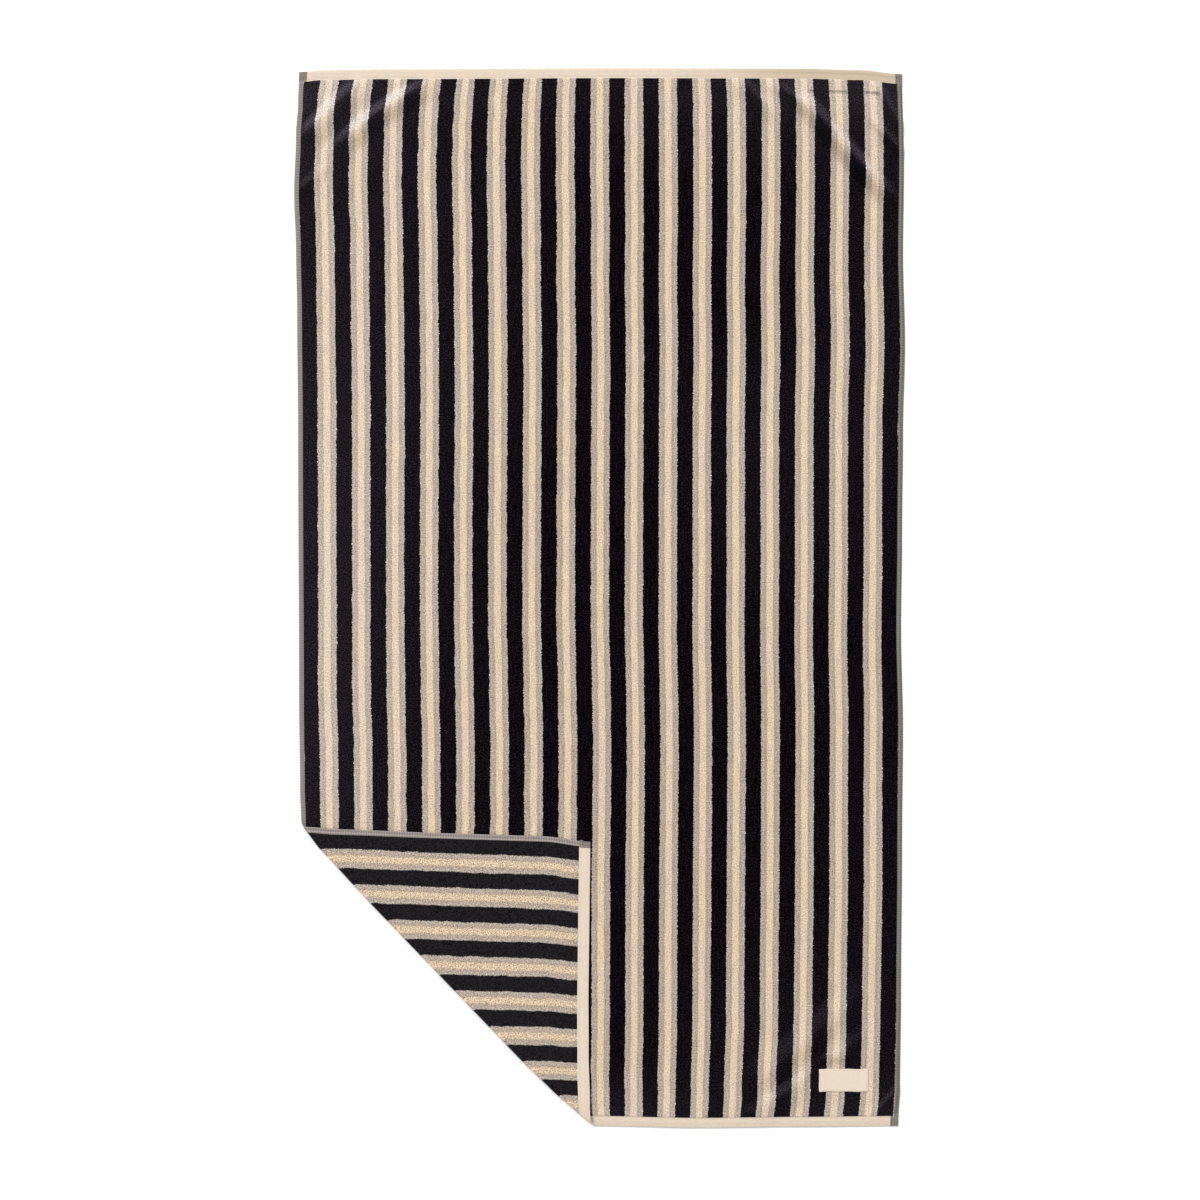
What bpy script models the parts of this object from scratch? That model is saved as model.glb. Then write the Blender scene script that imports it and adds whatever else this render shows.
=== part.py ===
"""A beach towel of terry cloth, spread flat with its sheared pile up.

Its lower left corner is turned over along a slanting fold, so that the looped reverse shows there,
and a small woven label is sewn on near the lower right corner. Soft ridges run out of the other
three corners.

Metres, +Z up, length along Y, the middle of the towel's outline over the origin and its reverse on
z = 0. The cloth's own coordinates are u, across from the left selvedge, and v, up from the lower
hem. The towel is modelled as flat cut cloth in u and v, and lay_cloth() then lays it down.
"""

from collections import namedtuple
from math import cos, pi, radians, sin

import bmesh
import bpy
from mathutils import Vector

# The cut cloth
CLOTH_WIDTH = 1.000
CLOTH_LENGTH = 1.750
PILE_THICKNESS = 0.0030
HEM_THICKNESS = 0.0020
SELVEDGE_THICKNESS = 0.0014
HEM_WIDTH = 0.0165
SELVEDGE_WIDTH = 0.0078
PILE_EDGE = 0.0015  # the width over which the pile rises beside a hem or selvedge

# The rectangle that just holds the towel as it lies
SPREAD_WIDTH = 1.0116
SPREAD_LENGTH = 1.7549

# How far each edge stands in from that rectangle, at places along the cloth
EdgeMark = namedtuple("EdgeMark", "along inset")
LEFT_EDGE = [
    EdgeMark(along=0.000, inset=0.0185),
    EdgeMark(along=0.080, inset=0.0116),
    EdgeMark(along=0.508, inset=0.0116),
    EdgeMark(along=0.558, inset=0.0099),
    EdgeMark(along=0.707, inset=0.0083),
    EdgeMark(along=1.152, inset=0.0066),
    EdgeMark(along=1.350, inset=0.0050),
    EdgeMark(along=1.450, inset=0.0033),
    EdgeMark(along=1.549, inset=0.0000),
    EdgeMark(along=1.648, inset=0.0033),
    EdgeMark(along=1.697, inset=0.0066),
    EdgeMark(along=1.750, inset=0.0083),
]
RIGHT_EDGE = [
    EdgeMark(along=0.000, inset=0.0116),
    EdgeMark(along=0.063, inset=0.0083),
    EdgeMark(along=0.211, inset=0.0066),
    EdgeMark(along=0.459, inset=0.0050),
    EdgeMark(along=0.657, inset=0.0033),
    EdgeMark(along=0.830, inset=0.0066),
    EdgeMark(along=0.971, inset=0.0050),
    EdgeMark(along=1.152, inset=0.0033),
    EdgeMark(along=1.301, inset=0.0000),
    EdgeMark(along=1.450, inset=0.0033),
    EdgeMark(along=1.600, inset=0.0017),
    EdgeMark(along=1.750, inset=0.0050),
]
LOWER_EDGE = [
    EdgeMark(along=0.000, inset=0.0033),
    EdgeMark(along=0.488, inset=0.0033),
    EdgeMark(along=0.664, inset=0.0000),
    EdgeMark(along=0.829, inset=0.0017),
    EdgeMark(along=1.000, inset=0.0033),
]
UPPER_EDGE = [
    EdgeMark(along=0.000, inset=0.0066),
    EdgeMark(along=0.040, inset=0.0033),
    EdgeMark(along=0.142, inset=0.0017),
    EdgeMark(along=0.530, inset=0.0000),
    EdgeMark(along=0.829, inset=0.0008),
    EdgeMark(along=0.929, inset=0.0033),
    EdgeMark(along=1.000, inset=0.0099),
]

# The turned-over corner. The fold slants down to the right, and its outer side bows a little.
FOLD_SLANT = radians(46.1)
FOLD_REACH = 0.6240  # from the towel's middle to the outer side of the fold
FOLD_HEIGHT = 0.0100
FOLD_MARKS = [
    EdgeMark(along=-0.085, inset=0.0125),
    EdgeMark(along=-0.072, inset=0.0090),
    EdgeMark(along=-0.062, inset=0.0066),
    EdgeMark(along=-0.020, inset=0.0025),
    EdgeMark(along=0.110, inset=0.0003),
    EdgeMark(along=0.460, inset=0.0000),
    EdgeMark(along=0.530, inset=0.0024),
    EdgeMark(along=0.595, inset=0.0078),
    EdgeMark(along=0.622, inset=0.0112),
    EdgeMark(along=0.640, inset=0.0120),
]
FOLD_TAKES = 0.0043  # how much cloth goes round the fold, where its pile is crushed
FOLD_TAKES_IN = 1.18  # how much more goes round, for each metre that the fold stands in
FLAP_GAP = 0.0008  # between the two layers, past the fold
FLAP_SETTLES = 0.070  # how far from the fold the upper layer comes to rest on the lower one
FLAP_TAKE_UP = 0.9828  # how far the turned cloth reaches, for each metre of it
FLAP_SKEW = -0.0345  # its slide along the fold, for each metre away from it

# Soft ridges where the cloth was pulled out of true, on the spread towel. Each is run so that the
# flank on its left is the one nearer the upper hem, and it bows to that side, or to the other where
# the bow is below zero. Left and right are the widths of its two flanks.
Ridge = namedtuple("Ridge", "start_x start_y end_x end_y bow height left right")
UPPER_LEFT_RIDGES = [
    Ridge(-0.506, 0.743, -0.380, 0.865, bow=0.0035, height=0.0080, left=0.020, right=0.036),
    Ridge(-0.459, 0.719, -0.256, 0.861, bow=0.0150, height=0.0080, left=0.019, right=0.030),
    Ridge(-0.506, 0.662, -0.440, 0.728, bow=0.0000, height=0.0025, left=0.014, right=0.018),
]
UPPER_RIGHT_RIDGES = [
    Ridge(0.216, 0.873, 0.302, 0.788, bow=0.0000, height=0.0045, left=0.015, right=0.030),
    Ridge(0.272, 0.864, 0.352, 0.805, bow=0.0000, height=0.0028, left=0.013, right=0.020),
    Ridge(0.304, 0.868, 0.506, 0.637, bow=-0.0025, height=0.0090, left=0.018, right=0.027),
    Ridge(0.451, 0.862, 0.509, 0.759, bow=0.0000, height=0.0038, left=0.012, right=0.011),
    Ridge(0.435, 0.811, 0.514, 0.722, bow=0.0000, height=0.0028, left=0.011, right=0.013),
]
LOWER_RIGHT_RIDGES = [
    Ridge(0.229, -0.821, 0.453, -0.631, bow=-0.0099, height=0.0039, left=0.036, right=0.027),
    Ridge(0.224, -0.871, 0.451, -0.712, bow=-0.0083, height=0.0035, left=0.020, right=0.034),
    Ridge(0.451, -0.864, 0.501, -0.805, bow=0.0000, height=0.0022, left=0.011, right=0.014),
]
RIDGES = UPPER_LEFT_RIDGES + UPPER_RIGHT_RIDGES + LOWER_RIGHT_RIDGES
RIDGE_TAPER = 0.30  # the share of a ridge over which each end dies away

# The label, sewn on near the lower right corner with its two ends turned under
LABEL_WIDTH = 0.0810
LABEL_HEIGHT = 0.0376
LABEL_THICKNESS = 0.0007
LABEL_X = 0.4040
LABEL_Y = -0.7985
LABEL_TURNED_END = 0.0070
LABEL_END_THICKNESS = 0.0011
LABEL_END_STEP = 0.0014  # the width over which a turned end slopes down to the middle
LABEL_BEVEL = 0.0002
LABEL_CLEAR = 0.005  # how far around the label the cloth is quite flat
LABEL_HOLD = 0.020  # how far past that the ridges rise to their full height
TOUCH_GAP = 0.0003

# Mesh sizes
FOLD_STEPS = 7  # how many parts the fold itself is cut into
FOLD_BESIDE_STEP = 0.0014
FOLD_BEFORE = 0.0126  # how far the cuts beside the fold go on, on the surface and on the flap
FOLD_AFTER = 0.0022
FOLD_CELL = 0.0212  # along the fold the mesh's cells stand corner to corner, this wide across it
FOLD_MIDDLE = 0.230  # the fold passes near this u and v
COARSE_ROWS = 2  # away from the fold, a row of the mesh is this many fold cells long
FINE_CELL = 0.0105  # over the ridges
WELD = 0.0005
MERGE = 0.000001
RIM_ANGLE = radians(60)
CREASE_ANGLE = radians(40)

STRIPED_TERRY = (0.27, 0.24, 0.21, 1.0)
TERRY_ROUGHNESS = 0.95
WOVEN_ECRU = (0.82, 0.70, 0.56, 1.0)
WOVEN_ROUGHNESS = 0.8


def smooth_step(share):
    """An S-shaped rise from 0 to 1."""
    share = min(max(share, 0.0), 1.0)
    return share * share * (3.0 - 2.0 * share)


def inset_at(marks, along):
    """How far an edge stands in at a place, between the marks on either side of it."""
    if along <= marks[0].along:
        return marks[0].inset
    for near, far in zip(marks, marks[1:]):
        if along <= far.along:
            share = smooth_step((along - near.along) / (far.along - near.along))
            return near.inset + share * (far.inset - near.inset)
    return marks[-1].inset


FOLD_ALONG = Vector((cos(FOLD_SLANT), -sin(FOLD_SLANT)))
FOLD_OUTWARD = Vector((-sin(FOLD_SLANT), -cos(FOLD_SLANT)))
OUTER_RADIUS = FOLD_HEIGHT / 2
FLAP_REST = 2 * PILE_THICKNESS + FLAP_GAP  # the height of the flap's upper side at rest


def spread_out(u, v):
    """Where a point of the cut cloth lies when the whole towel is spread out."""
    left = inset_at(LEFT_EDGE, v) - SPREAD_WIDTH / 2
    right = SPREAD_WIDTH / 2 - inset_at(RIGHT_EDGE, v)
    lower = inset_at(LOWER_EDGE, u) - SPREAD_LENGTH / 2
    upper = SPREAD_LENGTH / 2 - inset_at(UPPER_EDGE, u)
    across = u / CLOTH_WIDTH
    up = v / CLOTH_LENGTH
    return Vector((left + (right - left) * across, lower + (upper - lower) * up))


def past_fold(place):
    """How far a place on the spread towel lies beyond the line where the cloth leaves the surface,
    and how much cloth goes round the fold there."""
    inset = inset_at(FOLD_MARKS, place.dot(FOLD_ALONG))
    beyond = place.dot(FOLD_OUTWARD) - (FOLD_REACH - inset - OUTER_RADIUS)
    return beyond, FOLD_TAKES + FOLD_TAKES_IN * inset


def distance_from_label(place):
    aside_x = max(abs(place.x - LABEL_X) - LABEL_WIDTH / 2, 0.0)
    aside_y = max(abs(place.y - LABEL_Y) - LABEL_HEIGHT / 2, 0.0)
    return (aside_x**2 + aside_y**2) ** 0.5


def ridge_share(ridge, place):
    """How far up to a ridge's full height the cloth stands at a place."""
    start = Vector((ridge.start_x, ridge.start_y))
    run = Vector((ridge.end_x, ridge.end_y)) - start
    share = (place - start).dot(run) / run.length_squared
    over_left = Vector((-run.y, run.x)).normalized()
    aside = (place - start).dot(over_left) - ridge.bow * 4.0 * share * (1.0 - share)
    down_flank = aside / ridge.left if aside > 0.0 else -aside / ridge.right
    ends = smooth_step(share / RIDGE_TAPER) * smooth_step((1.0 - share) / RIDGE_TAPER)
    return ends * smooth_step(1.0 - down_flank)


def ridge_height(place):
    """How far the soft ridges lift the cloth off the surface, with none under the label."""
    height = sum(ridge.height * ridge_share(ridge, place) for ridge in RIDGES)
    return height * smooth_step((distance_from_label(place) - LABEL_CLEAR) / LABEL_HOLD)


def thickness_at(u, v):
    """The cloth's thickness: full in the pile, thinner in the hems and thinnest in the selvedges."""
    from_side = min(u, CLOTH_WIDTH - u)
    from_end = min(v, CLOTH_LENGTH - v)
    at_side = smooth_step((from_side - SELVEDGE_WIDTH) / PILE_EDGE)
    at_end = smooth_step((from_end - HEM_WIDTH) / PILE_EDGE)
    edge = HEM_THICKNESS if at_end < 1.0 else SELVEDGE_THICKNESS
    return edge + (PILE_THICKNESS - edge) * at_side * at_end


def lay_cloth(u, v, face):
    """The place of a point of the cloth as the towel lies: face 0 is the reverse, 1 the pile."""
    place = spread_out(u, v)
    beyond, round_it = past_fold(place)
    turned = smooth_step(beyond / round_it)
    # A hem or selvedge is thinner on its upper side where spread, and on both sides where turned
    hollow = PILE_THICKNESS - thickness_at(u, v)
    inward = 0.5 * turned * hollow
    if face:
        inward += thickness_at(u, v)
    if beyond <= 0.0:
        return Vector((place.x, place.y, ridge_height(place) + inward))
    foot = place - beyond * FOLD_OUTWARD
    if beyond < round_it:
        angle = pi * beyond / round_it
        radius = OUTER_RADIUS - inward
        out = foot + radius * sin(angle) * FOLD_OUTWARD
        return Vector((out.x, out.y, OUTER_RADIUS - radius * cos(angle)))
    back = beyond - round_it
    over = foot - FLAP_TAKE_UP * back * FOLD_OUTWARD + FLAP_SKEW * back * FOLD_ALONG
    height = FOLD_HEIGHT + (FLAP_REST - FOLD_HEIGHT) * smooth_step(back / FLAP_SETTLES)
    return Vector((over.x, over.y, height - inward))


def grid_lines(start, end, step):
    """Evenly spaced places from start to end, about a step apart, both ends included."""
    count = max(round((end - start) / step), 1)
    return [start + (end - start) * i / count for i in range(count + 1)]


def corner_depth():
    """How far the cut cloth's lower left corner lies beyond the line where the fold starts."""
    beyond, _ = past_fold(spread_out(FOLD_MIDDLE, FOLD_MIDDLE))
    return beyond + FOLD_MIDDLE * (sin(FOLD_SLANT) + cos(FOLD_SLANT))


def cloth_grid():
    """A flat mesh of the cut cloth whose cells stand corner to corner along the fold."""
    cell_u = FOLD_CELL / sin(FOLD_SLANT)
    cell_v = FOLD_CELL / cos(FOLD_SLANT)
    # Where the fold's line meets the lower hem and the left selvedge
    fold_u = corner_depth() / sin(FOLD_SLANT)
    fold_v = corner_depth() / cos(FOLD_SLANT)
    cells = int(fold_u / cell_u)
    columns = [0.0] + [fold_u - i * cell_u for i in range(cells, -1, -1)]
    rows = [0.0] + [fold_v - i * cell_v for i in range(cells, -1, -1)]
    columns += grid_lines(fold_u, CLOTH_WIDTH, COARSE_ROWS * cell_u)[1:]
    rows += grid_lines(fold_v, CLOTH_LENGTH, COARSE_ROWS * cell_v)[1:]

    mesh = bmesh.new()
    points = [[mesh.verts.new((u, v, 0.0)) for u in columns] for v in rows]
    for below, above in zip(points, points[1:]):
        for i in range(len(columns) - 1):
            mesh.faces.new((below[i], below[i + 1], above[i + 1], above[i]))
    return mesh


def cut_mesh(mesh, point, normal):
    geometry = mesh.verts[:] + mesh.edges[:] + mesh.faces[:]
    bmesh.ops.bisect_plane(mesh, geom=geometry, dist=MERGE, plane_co=point, plane_no=normal)


def cut_borders(mesh):
    """Lines along both sides of each step from a hem or selvedge up to the pile."""
    for inner in (SELVEDGE_WIDTH, SELVEDGE_WIDTH + PILE_EDGE):
        cut_mesh(mesh, (inner, 0, 0), (1, 0, 0))
        cut_mesh(mesh, (CLOTH_WIDTH - inner, 0, 0), (1, 0, 0))
    for inner in (HEM_WIDTH, HEM_WIDTH + PILE_EDGE):
        cut_mesh(mesh, (0, inner, 0), (0, 1, 0))
        cut_mesh(mesh, (0, CLOTH_LENGTH - inner, 0), (0, 1, 0))


def cut_fold(mesh):
    """Lines along the fold, so that the cloth can bend there. More lie beside it, for the two ends
    of the fold, which stand in and take up more cloth."""
    outward = Vector((FOLD_OUTWARD.x, FOLD_OUTWARD.y, 0.0))
    lines = grid_lines(-FOLD_BEFORE, 0.0, FOLD_BESIDE_STEP)
    lines += grid_lines(0.0, FOLD_TAKES, FOLD_TAKES / FOLD_STEPS)[1:]
    lines += grid_lines(FOLD_TAKES, FOLD_TAKES + FOLD_AFTER, FOLD_BESIDE_STEP)[1:]
    for line in lines:
        cut_mesh(mesh, (line - corner_depth()) * outward, outward)


def refine_corner(mesh, ridges):
    """Fine rows and columns over the part of the cloth that a corner's ridges run through."""
    across = [end for ridge in ridges for end in (ridge.start_x, ridge.end_x)]
    up = [end for ridge in ridges for end in (ridge.start_y, ridge.end_y)]
    ranges = []
    for ends, size in ((across, CLOTH_WIDTH), (up, CLOTH_LENGTH)):
        low = max(min(ends) + size / 2 - FINE_CELL, FINE_CELL)
        high = min(max(ends) + size / 2 + FINE_CELL, size - FINE_CELL)
        ranges.append((low, high))

    def inside(face):
        middle = face.calc_center_median()
        return all(low < middle[axis] < high for axis, (low, high) in enumerate(ranges))

    for axis, (low, high) in enumerate(ranges):
        normal = Vector((axis == 0, axis == 1, 0.0))
        for line in (low, high):
            cut_mesh(mesh, line * normal, normal)
    for axis, (low, high) in enumerate(ranges):
        normal = Vector((axis == 0, axis == 1, 0.0))
        for line in grid_lines(low, high, FINE_CELL)[1:-1]:
            faces = [face for face in mesh.faces if inside(face)]
            edges = list({edge for face in faces for edge in face.edges})
            verts = list({vert for face in faces for vert in face.verts})
            bmesh.ops.bisect_plane(
                mesh, geom=verts + edges + faces, dist=MERGE, plane_co=line * normal, plane_no=normal
            )


def new_object(name, mesh, colour, roughness):
    data = bpy.data.meshes.new(name)
    mesh.to_mesh(data)
    mesh.free()
    material = bpy.data.materials.new(name + "_finish")
    material.use_nodes = True
    shader = material.node_tree.nodes["Principled BSDF"]
    shader.inputs["Base Color"].default_value = colour
    shader.inputs["Roughness"].default_value = roughness
    data.materials.append(material)
    data.shade_smooth()
    data.set_sharp_from_angle(angle=CREASE_ANGLE)
    item = bpy.data.objects.new(name, data)
    bpy.context.scene.collection.objects.link(item)
    return item


def towel():
    """One sheet with its hems, its selvedges and its turned-over corner."""
    mesh = cloth_grid()
    for ridges in (UPPER_LEFT_RIDGES, UPPER_RIGHT_RIDGES, LOWER_RIGHT_RIDGES):
        refine_corner(mesh, ridges)
    cut_fold(mesh)
    cut_borders(mesh)
    bmesh.ops.remove_doubles(mesh, verts=mesh.verts[:], dist=WELD)
    bmesh.ops.triangulate(mesh, faces=mesh.faces[:])
    raised = bmesh.ops.extrude_face_region(mesh, geom=mesh.faces[:])
    for item in raised["geom"]:
        if isinstance(item, bmesh.types.BMVert):
            item.co.z = 1.0
    bmesh.ops.triangulate(mesh, faces=mesh.faces[:])
    for vert in mesh.verts:
        vert.co = lay_cloth(vert.co.x, vert.co.y, vert.co.z > 0.5)
    bmesh.ops.recalc_face_normals(mesh, faces=mesh.faces[:])
    return new_object("towel", mesh, STRIPED_TERRY, TERRY_ROUGHNESS)


def label():
    """A woven tag whose two ends are turned under, so they lie a little thicker than its middle."""
    mesh = bmesh.new()
    bmesh.ops.create_cube(mesh, size=1.0)
    bmesh.ops.scale(mesh, verts=mesh.verts[:], vec=(LABEL_WIDTH, LABEL_HEIGHT, LABEL_THICKNESS))
    step_in = LABEL_WIDTH / 2 - LABEL_TURNED_END
    for side in (-1, 1):
        cut_mesh(mesh, (side * step_in, 0, 0), (1, 0, 0))
        cut_mesh(mesh, (side * (step_in + LABEL_END_STEP), 0, 0), (1, 0, 0))
    for vert in mesh.verts:
        if vert.co.z > 0 and abs(vert.co.x) > step_in + LABEL_END_STEP / 2:
            vert.co.z += LABEL_END_THICKNESS - LABEL_THICKNESS
    rim = [edge for edge in mesh.edges if edge.calc_face_angle(0.0) > RIM_ANGLE]
    bmesh.ops.bevel(mesh, geom=rim, offset=LABEL_BEVEL, segments=2, profile=0.5, affect="EDGES")
    floor = PILE_THICKNESS + TOUCH_GAP + LABEL_THICKNESS / 2
    bmesh.ops.translate(mesh, verts=mesh.verts[:], vec=(LABEL_X, LABEL_Y, floor))
    return new_object("label", mesh, WOVEN_ECRU, WOVEN_ROUGHNESS)


for old in list(bpy.data.objects):
    bpy.data.objects.remove(old)
towel()
label()
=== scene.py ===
"""A beach towel of striped terry, spread on a pale studio floor with its lower left corner turned over.

The towel is made as flat cut cloth and then laid. Its cut coordinates are u, across from the left
selvedge, and v, up from the lower hem, both in metres. Depth is measured into the cloth from its
looped reverse, towards its sheared pile.
"""

from collections import namedtuple
from math import cos, pi, radians, sin

import bmesh
import bpy
import numpy as np
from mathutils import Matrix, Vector


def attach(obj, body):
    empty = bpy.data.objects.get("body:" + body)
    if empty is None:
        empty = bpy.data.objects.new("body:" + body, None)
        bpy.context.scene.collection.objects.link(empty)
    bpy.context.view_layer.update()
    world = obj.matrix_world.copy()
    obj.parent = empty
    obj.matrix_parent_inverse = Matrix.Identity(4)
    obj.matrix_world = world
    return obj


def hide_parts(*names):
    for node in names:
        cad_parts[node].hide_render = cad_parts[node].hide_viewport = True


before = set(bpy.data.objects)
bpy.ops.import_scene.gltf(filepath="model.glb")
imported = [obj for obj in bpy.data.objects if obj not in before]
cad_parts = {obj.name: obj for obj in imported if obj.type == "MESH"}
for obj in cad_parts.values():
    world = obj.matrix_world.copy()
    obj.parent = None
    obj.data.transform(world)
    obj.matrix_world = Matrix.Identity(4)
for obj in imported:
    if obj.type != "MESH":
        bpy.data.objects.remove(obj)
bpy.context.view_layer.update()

bpy.ops.object.select_all(action="DESELECT")

# The photographed frame: a square seen from straight above
VIEW_WIDTH = 1.98672
VIEW_MIDDLE = (0.0008, -0.0033)
CAMERA_HEIGHT = 6.0
SENSOR_WIDTH = 0.036

# The floor and the light
FLOOR_SIZE = 60
FLOOR_DROP = 0.0003  # how far below the towel the floor lies
FLOOR_WHITE = (0.99, 0.99, 0.99, 1)
SKY_STRENGTH = 0.65
WINDOW_PLACE = (-11.2, 14.9, 14.6)
WINDOW_SIZE = 6.0
WINDOW_POWER = 4200

# The cut cloth
CLOTH_WIDTH = 1.000
CLOTH_LENGTH = 1.750
PILE_THICKNESS = 0.0030
HEM_THICKNESS = 0.0020
SELVEDGE_INNER_THICKNESS = 0.0020
SELVEDGE_OUTER_THICKNESS = 0.0011
HEM_WIDTH = 0.0165
HEM_WIDTH_BEHIND = 0.0192  # the loops start further in on the reverse
SELVEDGE_WIDTH = 0.0078
SELVEDGE_WIDTH_BEHIND = 0.0088
PILE_EDGE = 0.0013  # the width over which the pile rises beside a hem or selvedge
EDGE_ROUND = 0.0010
HEM_SEAM = 0.0148  # the line of stitches, from the hem's outer side
HEM_SEAM_DEPTH = 0.0004
HEM_SEAM_WIDTH = 0.0014
HEM_ROLL = 0.00012  # how much thicker the hem is where the cloth turns back
HEM_ROLL_MIDDLE = 0.0045
EDGE_THIN = 0.3  # how thick the cloth is at its very rim, as a share

# The rectangle that just holds the towel as it lies
SPREAD_WIDTH = 1.0116
SPREAD_LENGTH = 1.7549

# How far each edge stands in from that rectangle, at places along the cloth
EdgeMark = namedtuple("EdgeMark", "along inset")
LEFT_EDGE = [
    EdgeMark(along=0.000, inset=0.0185),
    EdgeMark(along=0.080, inset=0.0116),
    EdgeMark(along=0.508, inset=0.0116),
    EdgeMark(along=0.558, inset=0.0099),
    EdgeMark(along=0.707, inset=0.0083),
    EdgeMark(along=1.152, inset=0.0066),
    EdgeMark(along=1.350, inset=0.0050),
    EdgeMark(along=1.450, inset=0.0033),
    EdgeMark(along=1.549, inset=0.0000),
    EdgeMark(along=1.648, inset=0.0033),
    EdgeMark(along=1.697, inset=0.0066),
    EdgeMark(along=1.750, inset=0.0083),
]
RIGHT_EDGE = [
    EdgeMark(along=0.000, inset=0.0116),
    EdgeMark(along=0.063, inset=0.0083),
    EdgeMark(along=0.211, inset=0.0066),
    EdgeMark(along=0.459, inset=0.0050),
    EdgeMark(along=0.657, inset=0.0033),
    EdgeMark(along=0.830, inset=0.0066),
    EdgeMark(along=0.971, inset=0.0050),
    EdgeMark(along=1.152, inset=0.0033),
    EdgeMark(along=1.301, inset=0.0000),
    EdgeMark(along=1.450, inset=0.0033),
    EdgeMark(along=1.600, inset=0.0017),
    EdgeMark(along=1.750, inset=0.0050),
]
LOWER_EDGE = [
    EdgeMark(along=0.000, inset=0.0033),
    EdgeMark(along=0.488, inset=0.0033),
    EdgeMark(along=0.664, inset=0.0000),
    EdgeMark(along=0.829, inset=0.0017),
    EdgeMark(along=1.000, inset=0.0033),
]
UPPER_EDGE = [
    EdgeMark(along=0.000, inset=0.0066),
    EdgeMark(along=0.040, inset=0.0033),
    EdgeMark(along=0.142, inset=0.0017),
    EdgeMark(along=0.530, inset=0.0000),
    EdgeMark(along=0.829, inset=0.0008),
    EdgeMark(along=0.929, inset=0.0033),
    EdgeMark(along=1.000, inset=0.0099),
]

# The turned-over corner
FOLD_SLANT = radians(46.1)
FOLD_REACH = 0.6240  # from the towel's middle to the outer side of the fold
FOLD_HEIGHT = 0.0100
FOLD_MARKS = [
    EdgeMark(along=-0.085, inset=0.0125),
    EdgeMark(along=-0.072, inset=0.0090),
    EdgeMark(along=-0.062, inset=0.0066),
    EdgeMark(along=-0.020, inset=0.0025),
    EdgeMark(along=0.110, inset=0.0003),
    EdgeMark(along=0.460, inset=0.0000),
    EdgeMark(along=0.530, inset=0.0024),
    EdgeMark(along=0.595, inset=0.0078),
    EdgeMark(along=0.622, inset=0.0112),
    EdgeMark(along=0.640, inset=0.0120),
]
FOLD_TAKES = 0.0043  # how much cloth goes round the fold, where its pile is crushed
FOLD_TAKES_IN = 1.18  # how much more goes round, for each metre that the fold stands in
FLAP_GAP = 0.0008  # between the two layers, past the fold
FLAP_SETTLES = 0.070  # how far from the fold the upper layer comes to rest on the lower one
FLAP_TAKE_UP = 0.9828  # how far the turned cloth reaches, for each metre of it
FLAP_SKEW = -0.0345  # its slide along the fold, for each metre away from it

FOLD_ALONG = Vector((cos(FOLD_SLANT), -sin(FOLD_SLANT)))
FOLD_OUTWARD = Vector((-sin(FOLD_SLANT), -cos(FOLD_SLANT)))
OUTER_RADIUS = FOLD_HEIGHT / 2
FLAP_REST = 2 * PILE_THICKNESS + FLAP_GAP

# Soft ridges where the cloth was pulled out of true, on the spread towel. Each is run so that the
# flank on its left is the one nearer the upper hem, and it bows to that side.
Ridge = namedtuple("Ridge", "start_x start_y end_x end_y bow height left right")
MAIN_RIDGES = [
    Ridge(-0.506, 0.743, -0.380, 0.865, bow=0.0035, height=0.0080, left=0.020, right=0.036),
    Ridge(-0.459, 0.719, -0.256, 0.861, bow=0.0150, height=0.0080, left=0.019, right=0.030),
    Ridge(-0.506, 0.662, -0.440, 0.728, bow=0.0000, height=0.0025, left=0.014, right=0.018),
    Ridge(0.216, 0.873, 0.302, 0.788, bow=0.0000, height=0.0045, left=0.015, right=0.030),
    Ridge(0.272, 0.864, 0.352, 0.805, bow=0.0000, height=0.0028, left=0.013, right=0.020),
    Ridge(0.304, 0.868, 0.506, 0.637, bow=-0.0025, height=0.0090, left=0.018, right=0.027),
    Ridge(0.451, 0.862, 0.509, 0.759, bow=0.0000, height=0.0038, left=0.012, right=0.011),
    Ridge(0.435, 0.811, 0.514, 0.722, bow=0.0000, height=0.0028, left=0.011, right=0.013),
    Ridge(0.229, -0.821, 0.453, -0.631, bow=-0.0099, height=0.0039, left=0.036, right=0.027),
    Ridge(0.224, -0.871, 0.451, -0.712, bow=-0.0083, height=0.0035, left=0.020, right=0.034),
    Ridge(0.451, -0.864, 0.501, -0.805, bow=0.0000, height=0.0022, left=0.011, right=0.014),
]
RIDGE_TAPER = 0.30
RIDGE_LEAN = 0.20  # how far a ridge leans to its left, for each metre of its height

LABEL_WIDTH = 0.0810
LABEL_HEIGHT = 0.0376
LABEL_X = 0.4040
LABEL_Y = -0.7985
LABEL_CLEAR = 0.005  # how far around the label the cloth is quite flat
LABEL_HOLD = 0.020  # how far past that the ridges rise to their full height
LABEL_THICKNESS = 0.00030
LABEL_TURNED_END = 0.0070
LABEL_REST = 0.0035  # the height of the label's underside where it lies on the pile
LABEL_BEND = 0.00018  # the radius on which its ends turn under
LABEL_STEP = 0.0060  # how far in the tape sinks from its turned ends to the pile
LABEL_SEAM = 0.0022  # from the label's edge to its stitches
LABEL_PUCKER = 0.00012  # how deep the stitches pull the label's two long sides
LABEL_PUCKER_WIDTH = 0.0018  # how far to either side of them that reaches
LABEL_WAIST = 0.0003  # how far its long sides waver, and its short sides
LABEL_SWAY = 0.0002
LABEL_STITCH_PITCH = 0.0026
LABEL_ENDS_RISE = 0.00036  # how much higher its turned ends stand than its middle
LONG_ROW_INSET = 0.0040  # how far in from its corners its rows of stitches start
SHORT_ROW_INSET = 0.0035

# The stitching
STITCH_PITCH = 0.0030
STITCH_SHARE = 0.86  # how much of its pitch a stitch fills
THREAD_WIDTH = 0.0008
THREAD_HEIGHT = 0.0005
ROW_INSET = 0.0010  # how far in from the selvedges a hem's row of stitches starts
TURNED_ROW_END = 0.4550  # how far the row on the reverse runs, to just short of the fold
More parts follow.
